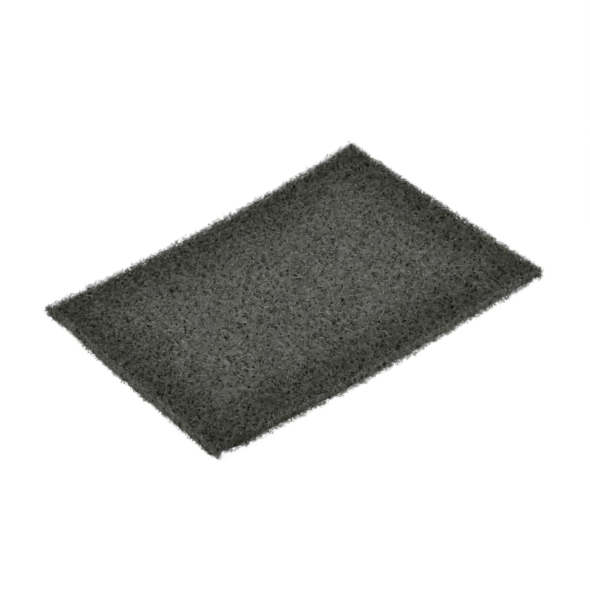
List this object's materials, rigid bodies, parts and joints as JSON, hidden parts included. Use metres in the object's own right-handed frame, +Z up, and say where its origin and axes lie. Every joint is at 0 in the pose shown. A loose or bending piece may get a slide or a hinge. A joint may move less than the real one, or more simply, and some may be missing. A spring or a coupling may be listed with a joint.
{
  "type": "non-woven abrasive pad",
  "caption": "Rectangular hand pad of open, matted dark-grey non-woven web, rough and porous on both faces, with ragged cut edges and slightly curled ends, for rubbing down by hand.",
  "frame": {"origin": "on the bench plane under the middle of the pad, where its flat middle rests", "axes": "+X along the length towards the slightly wider end, +Y across the width, +Z up out of the upper face"},
  "size_m": [0.23, 0.1573, 0.0119],
  "materials": {
    "abrasive_web": "matte"
  },
  "bodies": {
    "root": {"abrasive_pad": "abrasive_web"}
  },
  "joints": []
}
